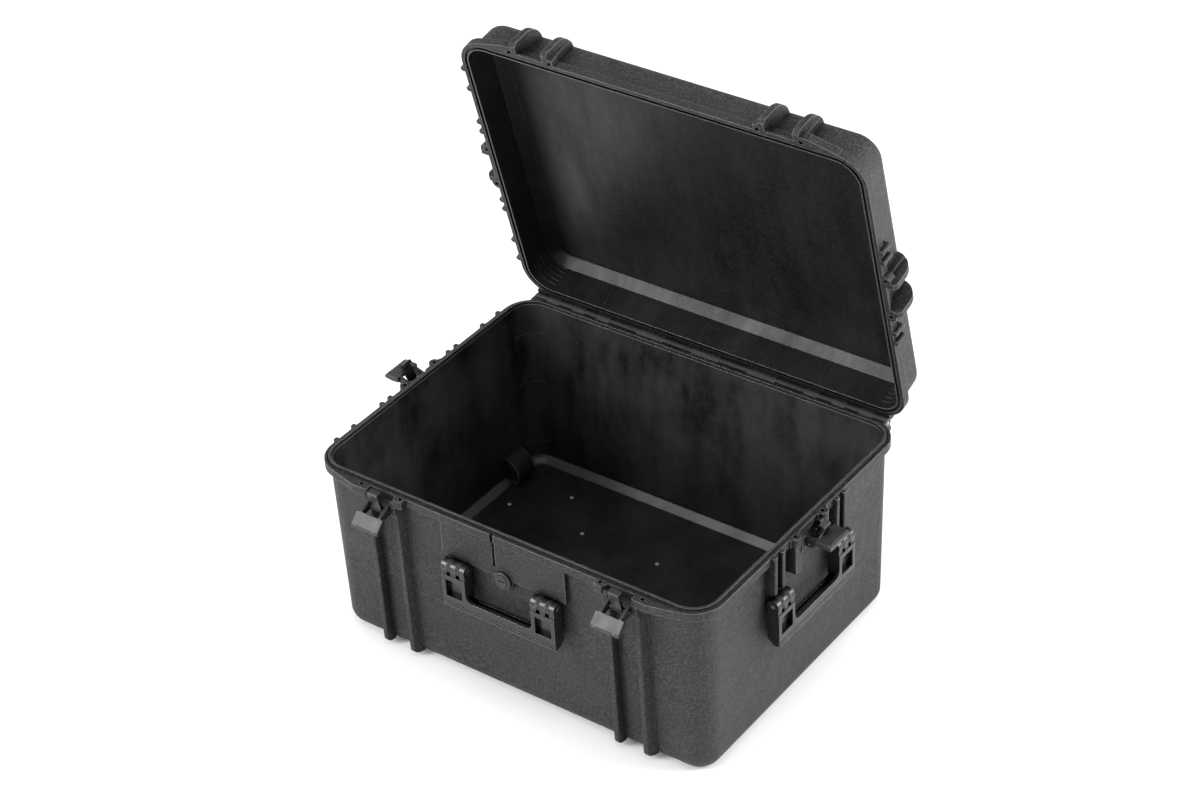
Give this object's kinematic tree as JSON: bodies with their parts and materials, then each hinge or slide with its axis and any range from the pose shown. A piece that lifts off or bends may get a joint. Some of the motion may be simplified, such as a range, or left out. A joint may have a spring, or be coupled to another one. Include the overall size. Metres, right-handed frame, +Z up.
{
  "type": "hard equipment case",
  "caption": "Hard plastic equipment case, lid open, with lever latches, fold-down handles, a ribbed rim, a full-width hinge and a purge valve",
  "frame": {"origin": "centre of the base's flat bottom, which stands on the floor", "axes": "+X runs along the hinge, to the right seen from the front latches; +Y points to the hinge side; +Z is up"},
  "size_m": [0.7421, 0.5947, 0.7788],
  "materials": {
    "shell": "fine texture, semi-matte",
    "latch": "smooth, satin",
    "handle": "smooth, satin",
    "valve": "matt",
    "seal": "matt",
    "steel": "satin"
  },
  "bodies": {
    "base": {"base_shell": "shell", "hinge_pin": "steel", "purge_valve_body": "valve", "purge_valve_o_ring": "seal", "latch_pins_front_left": "steel", "latch_pins_front_right": "steel", "latch_pins_left": "steel", "latch_pins_right": "steel", "handle_pin_front_a": "steel", "handle_pin_front_b": "steel", "handle_pin_left_a": "steel", "handle_pin_left_b": "steel", "handle_pin_right_a": "steel", "handle_pin_right_b": "steel"},
    "lid": {"lid_shell": "shell", "lid_seal": "seal"},
    "valve_knob": {"purge_valve_knob": "valve"},
    "lever_front_left": {"latch_lever_front_left": "latch", "latch_claw_pin_front_left": "steel"},
    "claw_front_left": {"latch_claw_front_left": "latch"},
    "lever_front_right": {"latch_lever_front_right": "latch", "latch_claw_pin_front_right": "steel"},
    "claw_front_right": {"latch_claw_front_right": "latch"},
    "lever_left": {"latch_lever_left": "latch", "latch_claw_pin_left": "steel"},
    "claw_left": {"latch_claw_left": "latch"},
    "lever_right": {"latch_lever_right": "latch", "latch_claw_pin_right": "steel"},
    "claw_right": {"latch_claw_right": "latch"},
    "handle_front": {"handle_front": "handle"},
    "handle_left": {"handle_left": "handle"},
    "handle_right": {"handle_right": "handle"}
  },
  "joints": [
    {"name": "lid_hinge", "type": "hinge", "parent": "base", "child": "lid", "pos_m": [0, 0.25, 0.277], "axis": [-1, 0, 0], "range_deg": [-76, 20]},
    {"name": "lever_front_left_pivot", "type": "hinge", "parent": "base", "child": "lever_front_left", "pos_m": [-0.197, -0.2465, 0.2645], "axis": [-1, 0, 0], "range_deg": [-47, 45]},
    {"name": "claw_front_left_pivot", "type": "hinge", "parent": "lever_front_left", "child": "claw_front_left", "pos_m": [-0.197, -0.25169, 0.25761], "axis": [-1, 0, 0], "range_deg": [-60.01, 62.68]},
    {"name": "lever_front_right_pivot", "type": "hinge", "parent": "base", "child": "lever_front_right", "pos_m": [0.197, -0.2465, 0.2645], "axis": [-1, 0, 0], "range_deg": [-47, 45]},
    {"name": "claw_front_right_pivot", "type": "hinge", "parent": "lever_front_right", "child": "claw_front_right", "pos_m": [0.197, -0.25169, 0.25761], "axis": [-1, 0, 0], "range_deg": [-60.01, 62.68]},
    {"name": "lever_left_pivot", "type": "hinge", "parent": "base", "child": "lever_left", "pos_m": [-0.3265, 0, 0.2645], "axis": [0, 1, 0], "range_deg": [-92, 0]},
    {"name": "claw_left_pivot", "type": "hinge", "parent": "lever_left", "child": "claw_left", "pos_m": [-0.33505, 0, 0.2633], "axis": [0, 1, 0], "range_deg": [-0.01, 122.68]},
    {"name": "lever_right_pivot", "type": "hinge", "parent": "base", "child": "lever_right", "pos_m": [0.3265, 0, 0.2645], "axis": [0, -1, 0], "range_deg": [-88, 4]},
    {"name": "claw_right_pivot", "type": "hinge", "parent": "lever_right", "child": "claw_right", "pos_m": [0.33494, 0, 0.2627], "axis": [0, -1, 0], "range_deg": [-5.34, 117.34]},
    {"name": "handle_front_pivot", "type": "hinge", "parent": "base", "child": "handle_front", "pos_m": [0, -0.247, 0.206], "axis": [-1, 0, 0], "range_deg": [0, 90]},
    {"name": "handle_left_pivot", "type": "hinge", "parent": "base", "child": "handle_left", "pos_m": [-0.327, 0, 0.206], "axis": [0, 1, 0], "range_deg": [0, 90]},
    {"name": "handle_right_pivot", "type": "hinge", "parent": "base", "child": "handle_right", "pos_m": [0.327, 0, 0.206], "axis": [0, -1, 0], "range_deg": [0, 90]},
    {"name": "valve_knob_turn", "type": "hinge", "parent": "base", "child": "valve_knob", "pos_m": [0, -0.2345, 0.212], "axis": [0, -1, 0], "range_deg": [0, 90]}
  ],
  "couplings": [
    {"joint": "claw_front_left_pivot", "follows": "lever_front_left_pivot", "ratio": -1.3333},
    {"joint": "claw_front_right_pivot", "follows": "lever_front_right_pivot", "ratio": -1.3333},
    {"joint": "claw_left_pivot", "follows": "lever_left_pivot", "ratio": -1.3333},
    {"joint": "claw_right_pivot", "follows": "lever_right_pivot", "ratio": -1.3333}
  ]
}
